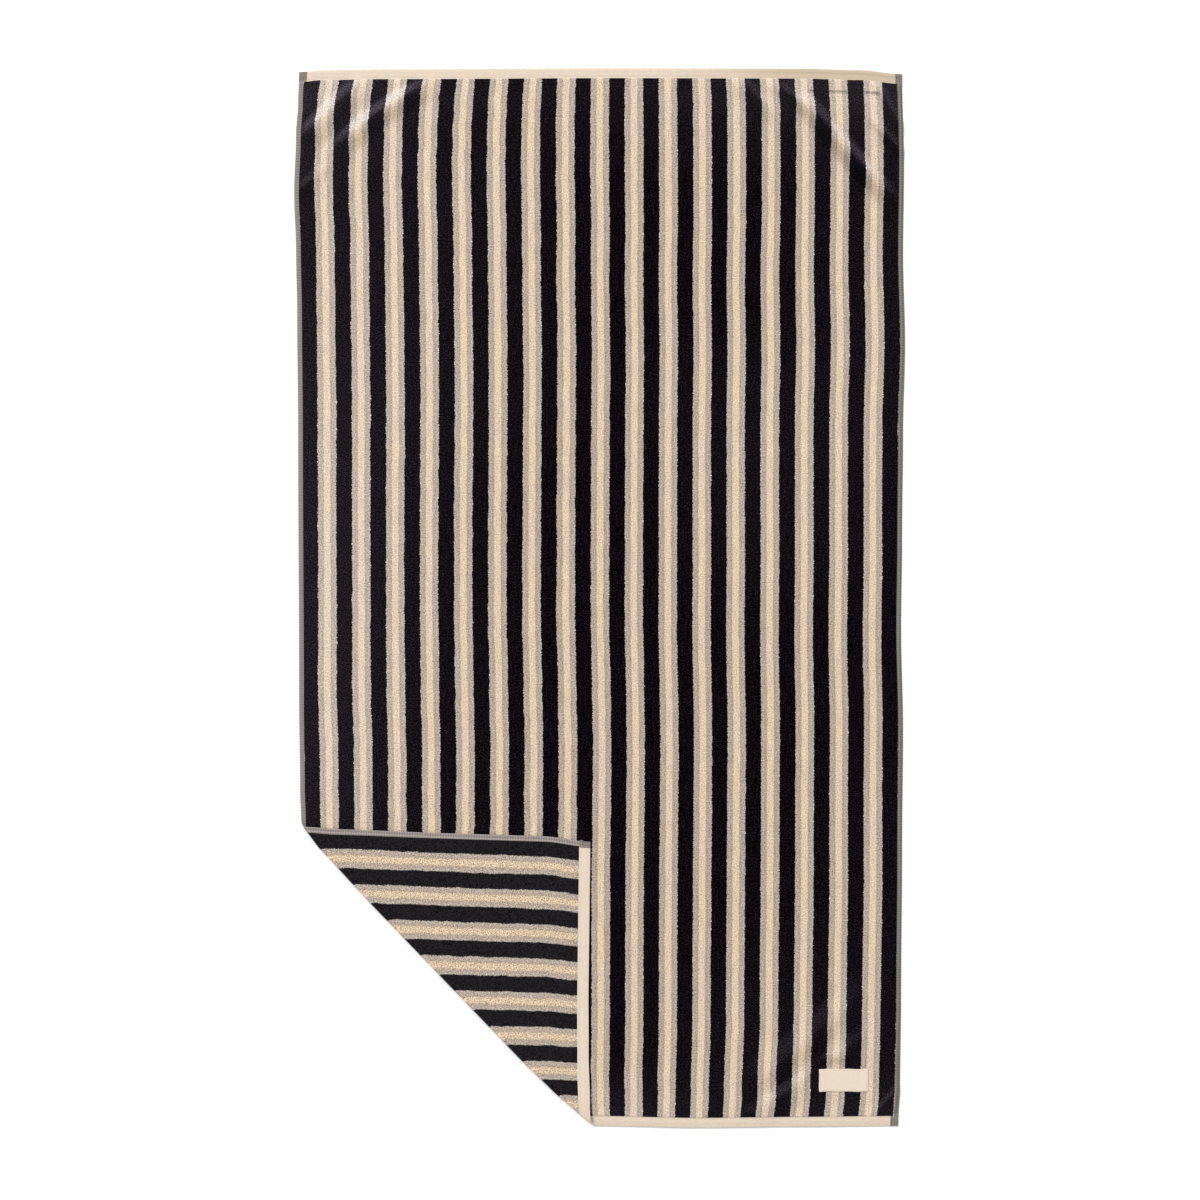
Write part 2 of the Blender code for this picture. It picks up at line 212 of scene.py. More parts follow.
# The loose plies at the turned corner: how far each leans across and along, and how high it stands
ThreadPly = namedtuple("ThreadPly", "lean_u lean_v rise")
THREAD_PLIES = [
    ThreadPly(lean_u=-0.0034, lean_v=0.0006, rise=0.0016),
    ThreadPly(lean_u=-0.0022, lean_v=0.0036, rise=0.0024),
    ThreadPly(lean_u=0.0006, lean_v=0.0030, rise=0.0030),
    ThreadPly(lean_u=-0.0030, lean_v=-0.0022, rise=0.0012),
]
PLY_ROOT = 0.0012  # how far in from the selvedge the plies leave the seam
PLY_RADIUS = 0.00028

# The woven stripes: black bars on a ground of grey with an ecru middle
FIRST_BAR = 0.0202  # the middle of the first black bar, from the left selvedge's outer side
STRIPE_PITCH = 0.05634
BAR_HALF = 0.01310
ECRU_FROM = 0.02275  # from the middle of a bar to the start of the ecru
# How far the weave has drifted to the right at places along the cloth, at five places across it
WeaveDrift = namedtuple("WeaveDrift", "along left left_middle middle right_middle right")
WEAVE_DRIFTS = [
    WeaveDrift(0.00, 0.0000, 0.0000, 0.0001, -0.0071, -0.0004),
    WeaveDrift(0.06, 0.0000, 0.0000, 0.0001, -0.0039, 0.0006),
    WeaveDrift(0.16, 0.0000, 0.0000, 0.0006, -0.0011, 0.0011),
    WeaveDrift(0.40, -0.0010, -0.0017, 0.0000, -0.0007, 0.0029),
    WeaveDrift(0.62, 0.0002, 0.0009, 0.0024, -0.0003, 0.0011),
    WeaveDrift(0.74, -0.0020, 0.0002, 0.0021, 0.0000, 0.0018),
    WeaveDrift(0.87, -0.0005, -0.0010, 0.0008, 0.0006, 0.0029),
    WeaveDrift(1.20, -0.0006, 0.0004, 0.0010, -0.0014, 0.0010),
    WeaveDrift(1.34, -0.0010, 0.0000, 0.0005, -0.0020, 0.0017),
    WeaveDrift(1.52, 0.0002, 0.0012, 0.0031, 0.0019, 0.0017),
    WeaveDrift(1.62, -0.0010, -0.0007, 0.0010, 0.0010, 0.0013),
    WeaveDrift(1.68, -0.0019, -0.0003, 0.0003, 0.0010, 0.0027),
    WeaveDrift(1.75, 0.0027, 0.0042, 0.0006, -0.0020, 0.0013),
]
# How strongly the sheared pile is brushed up, which makes it paler, partly with painted sheen, at the same
# five places
NapBrushAndSheen = namedtuple("NapBrushAndSheen", "along left left_middle middle right_middle right")
BRUSHED_NAP_AND_SHEEN = [
    NapBrushAndSheen(0.00, 0.10, 0.05, 0.13, 0.06, 0.13),
    NapBrushAndSheen(0.12, 0.10, 0.02, 0.00, 0.04, 0.04),
    NapBrushAndSheen(0.40, 0.12, 0.02, 0.00, 0.00, 0.02),
    NapBrushAndSheen(0.80, 0.16, 0.03, -0.01, -0.01, 0.01),
    NapBrushAndSheen(1.00, 0.17, 0.03, -0.02, 0.04, 0.02),
    NapBrushAndSheen(1.20, 0.14, 0.05, 0.00, 0.04, 0.04),
    NapBrushAndSheen(1.35, 0.12, 0.05, 0.00, 0.00, 0.05),
    NapBrushAndSheen(1.55, 0.10, 0.06, 0.00, 0.00, 0.05),
    NapBrushAndSheen(1.63, 0.18, 0.05, 0.02, 0.04, 0.07),
    NapBrushAndSheen(1.72, 0.27, 0.08, 0.05, 0.13, 0.22),
]
# Lines of painted shade along creases in the pile: straight across the towel at a place along it
CreaseShade = namedtuple("CreaseShade", "along start end strength")
PAINTED_CREASE_SHADES = [
    CreaseShade(along=1.7135, start=0.838, end=0.968, strength=0.52),
    CreaseShade(along=1.5290, start=0.008, end=0.026, strength=0.40),
]
CREASE_SHADE_WIDTH = 0.0090
CREASE_SHADE_FADE = 0.012  # how far in from its two ends a line reaches its strength

# Mesh sizes
BROAD_CELL = 0.0096
FINE_CELL = 0.0046
FINE_SIDE = 0.235  # how far in from the sides, and from the ends, the fine cells reach
FINE_END = 0.270
FOLD_MIDDLE = 0.230  # the fold passes near this u and v
FOLD_CUT = 0.0011  # how close the cuts beside the fold are, and how far they go on at its two sides
FOLD_BEFORE = 0.0132
FOLD_AFTER = 0.0022
FOLD_STEPS = 12  # how many parts the fold itself is cut into
WELD = 0.00012

# Where the grid's lines run beside a selvedge, and beside a hem's outer side
SIDE_LINES = [0, 0.0003, 0.001, 0.0034, 0.0056, 0.0078, 0.0088, 0.0096, 0.0106]
END_LINES = [0, 0.0003, 0.001, 0.0045, 0.009, 0.0134, 0.0148, 0.0165, 0.0178, 0.0192, 0.0205]

MAP_NAME = "cut_cloth"
# the cloth's slope and brush at each point, for the pile's painted highlights and painted shade
SLOPE_AND_BRUSH_NAME = "cloth_slope_and_brush"
PILE_SLOT, LOOPS_SLOT, HEM_SLOT, SELVEDGE_SLOT, SELVEDGE_BEHIND_SLOT = range(5)


def smooth_step(share):
    share = np.clip(share, 0.0, 1.0)
    return share * share * (3.0 - 2.0 * share)


def inset_at(marks, along):
    """How far an edge stands in at each place, eased from mark to mark."""
    inset = marks[0].inset
    for near, far in zip(marks, marks[1:]):
        share = smooth_step((along - near.along) / (far.along - near.along))
        inset = inset + share * (far.inset - near.inset)
    return inset


def spread_out(u, v):
    """Where points of the cut cloth lie when the whole towel is spread out."""
    left = inset_at(LEFT_EDGE, v) - SPREAD_WIDTH / 2
    right = SPREAD_WIDTH / 2 - inset_at(RIGHT_EDGE, v)
    lower = inset_at(LOWER_EDGE, u) - SPREAD_LENGTH / 2
    upper = SPREAD_LENGTH / 2 - inset_at(UPPER_EDGE, u)
    return left + (right - left) * u / CLOTH_WIDTH, lower + (upper - lower) * v / CLOTH_LENGTH


def ridge_share(ridge, x, y):
    """How far up to a ridge's full height the cloth stands at each place."""
    run_x, run_y = ridge.end_x - ridge.start_x, ridge.end_y - ridge.start_y
    length = np.hypot(run_x, run_y)
    from_x, from_y = x - ridge.start_x, y - ridge.start_y
    share = (from_x * run_x + from_y * run_y) / length**2
    aside = (from_y * run_x - from_x * run_y) / length - ridge.bow * 4 * share * (1 - share)
    ends = smooth_step(share / RIDGE_TAPER) * smooth_step((1 - share) / RIDGE_TAPER)
    return ends * smooth_step(1 - np.where(aside > 0, aside / ridge.left, -aside / ridge.right))


def ridge_height(x, y):
    """How far the soft ridges lift the spread cloth, with none under the label."""
    height = sum(ridge.height * ridge_share(ridge, x, y) for ridge in MAIN_RIDGES)
    beside = np.maximum(abs(x - LABEL_X) - LABEL_WIDTH / 2, 0)
    above = np.maximum(abs(y - LABEL_Y) - LABEL_HEIGHT / 2, 0)
    from_label = np.hypot(beside, above)
    return height * smooth_step((from_label - LABEL_CLEAR) / LABEL_HOLD)


def ridge_lean(x, y):
    """How far to the right the leaning ridges carry the stripes."""
    lean = 0.0
    for ridge in MAIN_RIDGES:
        run_x, run_y = ridge.end_x - ridge.start_x, ridge.end_y - ridge.start_y
        over_left = -run_y / np.hypot(run_x, run_y)
        lean = lean + RIDGE_LEAN * ridge.height * over_left * ridge_share(ridge, x, y)
    return lean


def cloth_section(u, v, behind):
    """The depths of the cloth's reverse and of its pile side: full in the pile and thinner in the
    hems and selvedges, with rounded outer edges and a groove along the hem's seam."""
    from_side = np.minimum(u, CLOTH_WIDTH - u)
    from_end = np.minimum(v, CLOTH_LENGTH - v)
    at_side = smooth_step((from_side - (SELVEDGE_WIDTH_BEHIND if behind else SELVEDGE_WIDTH)) / PILE_EDGE)
    at_end = smooth_step((from_end - (HEM_WIDTH_BEHIND if behind else HEM_WIDTH)) / PILE_EDGE)
    inward = np.clip(from_side / SELVEDGE_WIDTH, 0, 1)
    selvedge = SELVEDGE_OUTER_THICKNESS + (SELVEDGE_INNER_THICKNESS - SELVEDGE_OUTER_THICKNESS) * inward
    roll = HEM_ROLL * smooth_step(1 - abs(from_end - HEM_ROLL_MIDDLE) / HEM_ROLL_MIDDLE)
    seam = HEM_SEAM_DEPTH * smooth_step(1 - abs(from_end - HEM_SEAM) / HEM_SEAM_WIDTH)
    edge = np.where(at_end < 1, HEM_THICKNESS + roll - seam, selvedge)
    thickness = edge + (PILE_THICKNESS - edge) * at_side * at_end
    rim = np.clip(np.minimum(from_side, from_end) / EDGE_ROUND, 0, 1)
    full = EDGE_THIN + (1 - EDGE_THIN) * np.sqrt(1 - (1 - rim) ** 2)
    return thickness * (1 - full) / 2, thickness * (1 + full) / 2, PILE_THICKNESS - thickness


def lay_cloth(u, v, depth, hollow):
    """The places of points at a depth in the cloth, as the towel lies. Hollow is how much thinner
    than the pile the cloth is there: the turned part leaves half of it on either side."""
    x, y = spread_out(u, v)
    along = x * FOLD_ALONG.x + y * FOLD_ALONG.y
    inset = inset_at(FOLD_MARKS, along)
    beyond = x * FOLD_OUTWARD.x + y * FOLD_OUTWARD.y - (FOLD_REACH - inset - OUTER_RADIUS)
    round_it = FOLD_TAKES + FOLD_TAKES_IN * inset
    depth = depth + 0.5 * smooth_step(beyond / round_it) * hollow
    angle = pi * np.clip(beyond / round_it, 0, 1)
    radius = OUTER_RADIUS - depth
    back = np.maximum(beyond - round_it, 0)
    out = radius * np.sin(angle) - np.maximum(beyond, 0) - FLAP_TAKE_UP * back
    slide = FLAP_SKEW * back
    settled = FOLD_HEIGHT + (FLAP_REST - FOLD_HEIGHT) * smooth_step(back / FLAP_SETTLES) - depth
    height = np.where(back > 0, settled, OUTER_RADIUS - radius * np.cos(angle))
    height = np.where(beyond <= 0, ridge_height(x, y) + depth, height)
    x = x + out * FOLD_OUTWARD.x + slide * FOLD_ALONG.x
    y = y + out * FOLD_OUTWARD.y + slide * FOLD_ALONG.y
    return np.stack([x, y, height], axis=1)


def table_value(table, u, v):
    """A table's value at each place: eased from row to row along the cloth, even between its columns."""
    columns = len(table[0]) - 1
    step = CLOTH_WIDTH / (columns - 1)
    rows = np.zeros((columns, len(v))) + np.array(table[0][1:])[:, None]
    for near, far in zip(table, table[1:]):
        share = smooth_step((v - near.along) / (far.along - near.along))
        rows += (np.array(far[1:]) - np.array(near[1:]))[:, None] * share
    return sum(row * np.maximum(1 - abs(u - i * step) / step, 0) for i, row in enumerate(rows))


def weave_drift(u, v):
    """How far the stripes have drifted to the right of their even places."""
    return table_value(WEAVE_DRIFTS, u, v) + ridge_lean(*spread_out(u, v))


def cloth_slope_and_brush(u, v):
    """The cloth's slope to the right and to the top, and how it is brushed: what the pile's painted
    highlights and painted shade are worked out from.
    """
    x, y = spread_out(u, v)
    reach = 0.002
    to_right = (ridge_height(x + reach, y) - ridge_height(x - reach, y)) / (2 * reach)
    to_top = (ridge_height(x, y + reach) - ridge_height(x, y - reach)) / (2 * reach)
    return np.stack([to_right, to_top, table_value(BRUSHED_NAP_AND_SHEEN, u, v)], axis=1)


def spaced(start, end, step):
    count = max(round((end - start) / step), 1)
    return [start + (end - start) * i / count for i in range(count)]


def cell_lines(size, borders, fine):
    """Where the lines of the cloth's grid run: close at the border, fine near it and broad beyond."""
    near = borders + spaced(borders[-1], fine, FINE_CELL)[1:]
    middle = spaced(fine, size - fine, BROAD_CELL)
    return near + middle + [size - fine] + [size - line for line in reversed(near)]


def flat_cloth():
    """The cut cloth as a flat grid, cut along the fold where it bends."""
    columns = cell_lines(CLOTH_WIDTH, SIDE_LINES, FINE_SIDE)
    rows = cell_lines(CLOTH_LENGTH, END_LINES, FINE_END)
    mesh = bmesh.new()
    points = [[mesh.verts.new((u, v, 0)) for u in columns] for v in rows]
    for below, above in zip(points, points[1:]):
        for i in range(len(columns) - 1):
            mesh.faces.new((below[i], below[i + 1], above[i + 1], above[i]))
    middle_x, middle_y = spread_out(FOLD_MIDDLE, FOLD_MIDDLE)
    corner_depth = middle_x * FOLD_OUTWARD.x + middle_y * FOLD_OUTWARD.y - (FOLD_REACH - OUTER_RADIUS)
    corner_depth += FOLD_MIDDLE * (sin(FOLD_SLANT) + cos(FOLD_SLANT))
    outward = Vector((FOLD_OUTWARD.x, FOLD_OUTWARD.y, 0))
    cuts = spaced(-FOLD_BEFORE, 0, FOLD_CUT) + spaced(0, FOLD_TAKES, FOLD_TAKES / FOLD_STEPS)
    cuts += spaced(FOLD_TAKES, FOLD_TAKES + FOLD_AFTER, FOLD_CUT) + [FOLD_TAKES + FOLD_AFTER]
    for cut in cuts:
        everything = mesh.verts[:] + mesh.edges[:] + mesh.faces[:]
        line = (cut - corner_depth) * outward
        bmesh.ops.bisect_plane(mesh, geom=everything, dist=0.000001, plane_co=line, plane_no=outward)
    bmesh.ops.remove_doubles(mesh, verts=mesh.verts[:], dist=WELD)
    bmesh.ops.triangulate(mesh, faces=[face for face in mesh.faces if len(face.verts) > 4])
    return mesh


def make_cloth():
    """The towel: one sheet with its hems, its selvedges and its turned-over corner."""
    mesh = flat_cloth()
    raised = bmesh.ops.extrude_face_region(mesh, geom=mesh.faces[:])
    for item in raised["geom"]:
        if isinstance(item, bmesh.types.BMVert):
            item.co.z = 1.0
    mesh.normal_update()
    flat = np.array([vert.co[:] for vert in mesh.verts])
    u, v, pile = flat[:, 0], flat[:, 1], flat[:, 2] > 0.5
    reverse, top, hollow = cloth_section(u, v, False)
    reverse_behind, _, hollow_behind = cloth_section(u, v, True)
    depth = np.where(pile, top, reverse)
    places = lay_cloth(u, v, depth, np.where(pile, hollow, hollow_behind))
    cut = mesh.loops.layers.uv.new(MAP_NAME)
    nap = mesh.verts.layers.float_vector.new(SLOPE_AND_BRUSH_NAME)
    woven = u - weave_drift(u, v)
    middle_u, middle_v = CLOTH_WIDTH / 2, CLOTH_LENGTH / 2
    for face in mesh.faces:
        centre = face.calc_center_median()
        from_side = middle_u - abs(centre.x - middle_u)
        from_end = middle_v - abs(centre.y - middle_v)
        behind = centre.z < 0.5
        if from_end < (HEM_WIDTH_BEHIND if behind else HEM_WIDTH) + 0.0002:
            face.material_index = HEM_SLOT
        elif from_side < (SELVEDGE_WIDTH_BEHIND if behind else SELVEDGE_WIDTH):
            face.material_index = SELVEDGE_BEHIND_SLOT if behind else SELVEDGE_SLOT
        else:
            face.material_index = LOOPS_SLOT if behind else PILE_SLOT
        face.smooth = True
        for loop in face.loops:
            loop[cut].uv = (woven[loop.vert.index], v[loop.vert.index])
    for vert, place, lie in zip(mesh.verts, places, cloth_slope_and_brush(u, v)):
        vert.co = place
        vert[nap] = lie
    bmesh.ops.recalc_face_normals(mesh, faces=mesh.faces[:])
    data = bpy.data.meshes.new("striped_cloth")
    mesh.to_mesh(data)
    mesh.free()
    cloth = bpy.data.objects.new("striped_cloth", data)
    bpy.context.scene.collection.objects.link(cloth)
    return cloth


# ---- Materials ----

LIGHT_LEVEL = 1.12  # the light that falls on the towel, where 1 would show white paper as white


def dye(red, green, blue):
    """The colour of a yarn that the studio's light shows as these values of a display."""
    display = (red / 255, green / 255, blue / 255)
    linear = (((c + 0.055) / 1.055) ** 2.4 if c > 0.04045 else c / 12.92 for c in display)
    return tuple(c / LIGHT_LEVEL for c in linear) + (1.0,)


BLACK_YARN = dye(8, 4, 8)
BLACK_BESIDE_GREY = dye(10, 5, 7)
GREY_BESIDE_BLACK = dye(186, 175, 166)
GREY_BESIDE_ECRU = dye(182, 166, 150)
ECRU_YARN = dye(231, 209, 183)
LOOP_GLOW = (1.0, 0.86, 0.96, 1.0)  # the light that the open loops scatter into their own shade
HEM_YARN = dye(240, 223, 203)
HEM_OCHRE = dye(216, 197, 172)
HEM_END_GREY = dye(142, 130, 124)
# The selvedges' greys: the right one is darker, painted shade on an edge that faces away from the light
SELVEDGE_LEFT = dye(152, 143, 138)
SELVEDGE_RIGHT = dye(131, 127, 117)
LABEL_YARN = dye(243, 226, 207)
THREAD_ECRU = dye(238, 226, 210)

BLACK_GRAIN, GREY_GRAIN, ECRU_GRAIN = 26.0, 1.45, 1.05  # how strongly uneven yarn shows in each
# The sizes, across and along the cloth, of the yarn's flecks and streaks, of the drifts of the nap, of
# the stripes' wavering, and of single cut tufts and loops
FLECK_SIZE = (0.0021, 0.0023)
STREAK_SIZE = (0.0032, 0.0300)
NAP_SIZE = (0.060, 0.090)
SWAY_SIZE = (0.050, 0.026)
CUT_TUFT = (0.0012, 0.0016)
LOOP_TUFT = (0.0014, 0.0016)
TUFT_SCATTER = 0.9
WARM_TINT = (1.0, 0.975, 0.925, 1.0)
# The pile's painted highlights, painted glint and painted shade on the ridges' flanks, from the cloth's
# slope with fixed directions for the light
PAINTED_GLINT = (0.93, 0.82, 1.0, 1.0)  # the colour of the painted glint on brushed-up pile and on lit flanks
PAINTED_GLINT_STRENGTH = 0.070
PAINTED_LIGHT_FACING = (-0.60, -0.90)  # how much a rise to the right, and one to the top, turn the pile from the light, for its painted shade and the black bars' painted highlight
PAINTED_LIGHT_FROM_TOP = (0.15, -0.99)  # and how much they bring out its painted highlight and painted glint, and its deeper colour in painted shade
PAINTED_TIPS = (0.765, 0.735, 0.700, 1.0)  # the colour of the painted highlight on the light yarns' tips, on a lit flank
PAINTED_TIPS_FROM = 0.12  # the slope from which a lit flank shows that painted highlight
PAINTED_TIPS_SHOW = 1.20
PAINTED_TIPS_BRUSHED = 0.72
PAINTED_LIGHT_GAIN = 0.60
PAINTED_LIGHT_GAIN_ON_BLACK = 2.6
BRUSH_AND_SHEEN_GAIN = 0.30
BRUSH_AND_SHEEN_GAIN_ON_BLACK = 0.56
PAINTED_HIGHLIGHT_ASIDE = (-0.60, -0.30)  # the painted highlight's change on a lit flank where it also rises to the right, and to either side
PAINTED_SHADE_DEEPER = -0.50  # how much more colour shows in painted shade on a flank away from the light
CordLine = namedtuple("CordLine", "middle half left right")  # its place, and its strength at either side
SELVEDGE_CORDS = [
    CordLine(middle=0.0010, half=0.0018, left=0.12, right=0.10),
    CordLine(middle=0.0044, half=0.0020, left=-0.02, right=-0.22),
    CordLine(middle=0.0068, half=0.0016, left=-0.14, right=0.38),
]
SELVEDGE_CORDS_BEHIND = [
    CordLine(middle=0.0014, half=0.0018, left=0.40, right=0.40),
    CordLine(middle=0.0042, half=0.0012, left=-0.04, right=-0.04),
    CordLine(middle=0.0069, half=0.0019, left=0.60, right=0.60),
]
HEM_END_FROM, HEM_END_TO = 0.0110, 0.0118  # where the hem's grey ends give way to its ecru
EndCord = namedtuple("EndCord", "middle half depth")  # the dark lines along those grey ends
HEM_END_CORDS = [
    EndCord(middle=0.0016, half=0.0014, depth=0.40),
    EndCord(middle=0.0056, half=0.0016, depth=0.50),
    EndCord(middle=0.0104, half=0.0017, depth=0.60),
]
HEM_DOUBLED = (0.0062, 0.0022)  # a darker line along the hem: its middle, from the end, and half width
HEM_FULL = (0.0120, 0.0045)  # a lighter band beside it
HEM_RIB = 0.0022  # the pitch of its ribs, and of its twill
HEM_TWILL = 0.0052
SELVEDGE_RUNG = 0.0022  # half the pitch of the selvedge's dark dashes
SELVEDGE_TUCK = (0.0182, 0.0016)  # the lighter line across it where it goes into the hem


class Graph:
    """Adds nodes to a material or a node group, and links them by their outputs."""

    def __init__(self, tree):
        self.tree = tree

    def add(self, kind, inputs=None, **settings):
        node = self.tree.nodes.new(kind)
        for name, value in settings.items():
            setattr(node, name, value)
        for name, value in (inputs or {}).items():
            self.feed(node.inputs[name], value)
        return node

    def feed(self, socket, value):
        if isinstance(value, bpy.types.NodeSocket):
            self.tree.links.new(value, socket)
        else:
            socket.default_value = value

    def math(self, operation, *values):
        node = self.add("ShaderNodeMath", operation=operation)
        for i, value in enumerate(values):
            self.feed(node.inputs[i], value)
        return node.outputs[0]

    def times(self, *values):
        product = values[0]
        for value in values[1:]:
            product = self.math("MULTIPLY", product, value)
        return product

    def plus(self, *values):
        total = values[0]
        for value in values[1:]:
            total = self.math("ADD", total, value)
        return total

    def around(self, value, gain):
        """A noise, which lies around one half, turned into a swing around none."""
        return self.math("MULTIPLY_ADD", value, gain, -0.5 * gain)

    def stretch(self, vector, by):
        node = self.add("ShaderNodeVectorMath", operation="MULTIPLY")
        self.feed(node.inputs[0], vector)
        node.inputs[1].default_value = by
        return node.outputs[0]

    def sized(self, place, size, depth=1):
        """A place counted in steps of this size across and along the cloth."""
        return self.stretch(place, (1 / size[0], 1 / size[1], depth))

    def split(self, vector):
        return self.add("ShaderNodeSeparateXYZ", {"Vector": vector}).outputs

    def ease(self, value, start, end, low=0.0, high=1.0):
        node = self.add("ShaderNodeMapRange", interpolation_type="SMOOTHSTEP")
        given = {"Value": value, "From Min": start, "From Max": end, "To Min": low, "To Max": high}
        for name, number in given.items():
            self.feed(node.inputs[name], number)
        return node.outputs["Result"]

    def line(self, value, middle, half):
        """One along a line, falling to none at half its width."""
        away = self.math("ABSOLUTE", self.math("SUBTRACT", value, middle))
        return self.ease(away, 0.0, half, 1.0, 0.0)

    def blend(self, factor, first, second, kind="MIX"):
        node = self.add("ShaderNodeMix", data_type="RGBA", blend_type=kind)
        self.feed(node.inputs["Factor"], factor)
        self.feed(node.inputs[6], first)
        self.feed(node.inputs[7], second)
        return node.outputs[2]

    def noise(self, vector, detail=1.0, roughness=0.5):
        inputs = {"Vector": vector, "Scale": 1.0, "Detail": detail, "Roughness": roughness}
        return self.add("ShaderNodeTexNoise", inputs).outputs["Fac"]

    def brighten(self, colour, factor, depth=1.0):
        inputs = {"Color": colour, "Value": factor, "Saturation": depth}
        return self.add("ShaderNodeHueSaturation", inputs).outputs["Color"]

    def group(self, tree, **inputs):
        node = self.add("ShaderNodeGroup", node_tree=tree)
        for name, value in inputs.items():
            self.feed(node.inputs[name.replace("_", " ")], value)
        return node.outputs


def new_group(name, inputs, outputs):
    tree = bpy.data.node_groups.new(name, "ShaderNodeTree")
    for label, kind, default in inputs:
        socket = tree.interface.new_socket(label, in_out="INPUT", socket_type=kind)
        if default is not None:
            socket.default_value = default
    for label, kind in outputs:
        tree.interface.new_socket(label, in_out="OUTPUT", socket_type=kind)
    return Graph(tree), tree.nodes.new("NodeGroupInput").outputs, tree.nodes.new("NodeGroupOutput").inputs


def stripe_group():
    """The striped colours at a place on the cut cloth, and how strongly uneven yarn shows there."""
    graph, given, out = new_group(
        "woven_stripes",
        [
            ("Place", "NodeSocketVector", None),
            ("Softness", "NodeSocketFloat", 0.0005),
            ("Wander", "NodeSocketFloat", 0.0040),
        ],
        [("Colour", "NodeSocketColor"), ("Grain", "NodeSocketFloat"), ("Blackness", "NodeSocketFloat")],
    )
    place, soft = given["Place"], given["Softness"]
    across = graph.split(place)["X"]
    knobbly = graph.ease(across, 0.40, 0.62, 1.0, 0.55)
    sway = graph.around(graph.noise(graph.sized(place, SWAY_SIZE, 0), 2.0), 1.0)
    wandered = graph.plus(across, graph.times(sway, knobbly, given["Wander"]))
    steps = graph.math("DIVIDE", graph.math("SUBTRACT", wandered, FIRST_BAR), STRIPE_PITCH)
    from_bar = graph.times(graph.math("PINGPONG", steps, 0.5), STRIPE_PITCH)

    def past(line, blur):
        return graph.ease(from_bar, graph.math("SUBTRACT", line, blur), graph.math("ADD", line, blur))

    light, ecru = past(BAR_HALF, soft), past(ECRU_FROM, graph.times(soft, 2.5))
    black = graph.blend(graph.ease(from_bar, BAR_HALF - 0.003, BAR_HALF), BLACK_YARN, BLACK_BESIDE_GREY)
    grey = graph.blend(graph.ease(from_bar, BAR_HALF, ECRU_FROM), GREY_BESIDE_BLACK, GREY_BESIDE_ECRU)
    graph.feed(out["Colour"], graph.blend(light, black, graph.blend(ecru, grey, ECRU_YARN)))
    to_grey = graph.times(light, GREY_GRAIN - BLACK_GRAIN)
    to_ecru = graph.times(ecru, ECRU_GRAIN - GREY_GRAIN)
    graph.feed(out["Grain"], graph.plus(BLACK_GRAIN, graph.plus(to_grey, to_ecru)))
    graph.feed(out["Blackness"], graph.math("SUBTRACT", 1.0, light))
    return graph.tree


def yarn_group():
    """Uneven yarn: short flecks, longer streaks that run with the warp, and slow drifts of the nap."""
    graph, given, out = new_group(
        "uneven_yarn",
        [("Place", "NodeSocketVector", None)],
        [("Fleck", "NodeSocketFloat"), ("Streak", "NodeSocketFloat"), ("Nap", "NodeSocketFloat")],
    )
    place = given["Place"]
    graph.feed(out["Fleck"], graph.noise(graph.sized(place, FLECK_SIZE), 1.0, 0.5))
    graph.feed(out["Streak"], graph.noise(graph.sized(place, STREAK_SIZE), 2.0, 0.6))
    graph.feed(out["Nap"], graph.noise(graph.sized(place, NAP_SIZE), 3.0, 0.6))
    return graph.tree


def weave_group():
    """A plain weave of two sets of threads: its height, and a slow unevenness in its colour."""
    graph, given, out = new_group(
        "plain_weave",
        [
            ("Place", "NodeSocketVector", None),
            ("Threads Across", "NodeSocketFloat", 900.0),
            ("Threads Along", "NodeSocketFloat", 900.0),
        ],
        [("Height", "NodeSocketFloat"), ("Shade", "NodeSocketFloat")],
    )
    place = graph.split(given["Place"])
    warp = graph.math("SINE", graph.times(place["X"], given["Threads Across"], pi))
    weft = graph.math("SINE", graph.times(place["Y"], given["Threads Along"], pi))
    fluff = graph.noise(graph.stretch(given["Place"], (900, 900, 1)), 2.0, 0.6)
    graph.feed(out["Height"], graph.plus(graph.times(warp, weft, 0.35), fluff))
    slubs = graph.noise(graph.stretch(given["Place"], (150, 520, 1)), 2.0, 0.6)
    graph.feed(out["Shade"], graph.plus(graph.times(fluff, 0.55), graph.times(slubs, 0.45)))
    return graph.tree


def new_material(name, roughness=0.9, sheen=0.03, specular=0.10):
    material = bpy.data.materials.new(name)
    material.use_nodes = True
    shader = material.node_tree.nodes["Principled BSDF"]
    shader.inputs["Roughness"].default_value = roughness
    shader.inputs["Sheen Weight"].default_value = sheen
    shader.inputs["Sheen Roughness"].default_value = 0.6
    shader.inputs["Specular IOR Level"].default_value = specular
    graph = Graph(material.node_tree)
    place = graph.add("ShaderNodeUVMap", uv_map=MAP_NAME).outputs["UV"]
    return material, graph, shader, place


def finish_surface(graph, shader, colour, height, depth):
    graph.feed(shader.inputs["Base Color"], colour)
    bump = graph.add("ShaderNodeBump", {"Height": height, "Distance": depth})
    graph.feed(shader.inputs["Normal"], bump.outputs["Normal"])


def tufts(graph, place, size):
    """The pile as single tufts: the middle of the nearest, the distance from it, and its chance."""
    inputs = {"Vector": graph.sized(place, size, 0), "Scale": 1.0, "Randomness": TUFT_SCATTER}
    cells = graph.add("ShaderNodeTexVoronoi", inputs, voronoi_dimensions="2D").outputs
    middle = graph.stretch(cells["Position"], (*size, 0))
    return middle, cells["Distance"], graph.split(cells["Color"])["X"]


